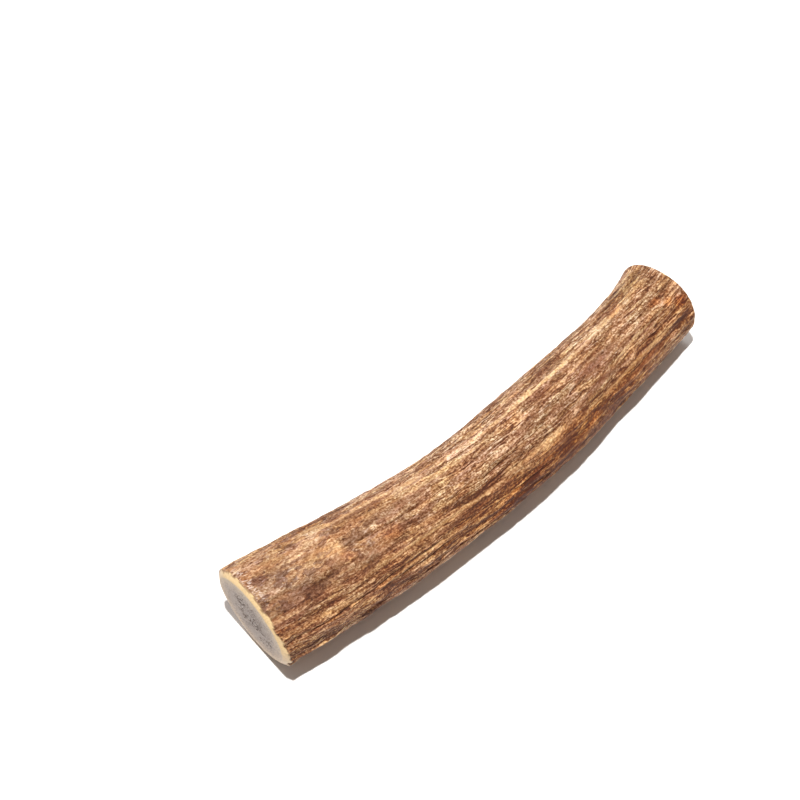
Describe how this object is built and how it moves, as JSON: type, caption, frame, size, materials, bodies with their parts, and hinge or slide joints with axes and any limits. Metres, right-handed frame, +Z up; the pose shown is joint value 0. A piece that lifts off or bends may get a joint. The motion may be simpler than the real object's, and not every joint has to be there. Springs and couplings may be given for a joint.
{
  "type": "antler dog chew",
  "caption": "Cut length of deer antler, gently curved and ridged along its bark, sawn flat at both ends and lying on its side.",
  "frame": {"origin": "under the middle of the bounding box, on the surface that the antler lies on", "axes": "+X along the antler from its wide sawn end to its narrow one, +Z up, the hollow side of the bend towards +Y"},
  "size_m": [0.1824, 0.0406, 0.0342],
  "materials": {
    "antler": "dull furrowed bark, brown with cream streaks, and smooth cream bone on the sawn ends"
  },
  "bodies": {
    "root": {"antler": "antler"}
  },
  "joints": []
}
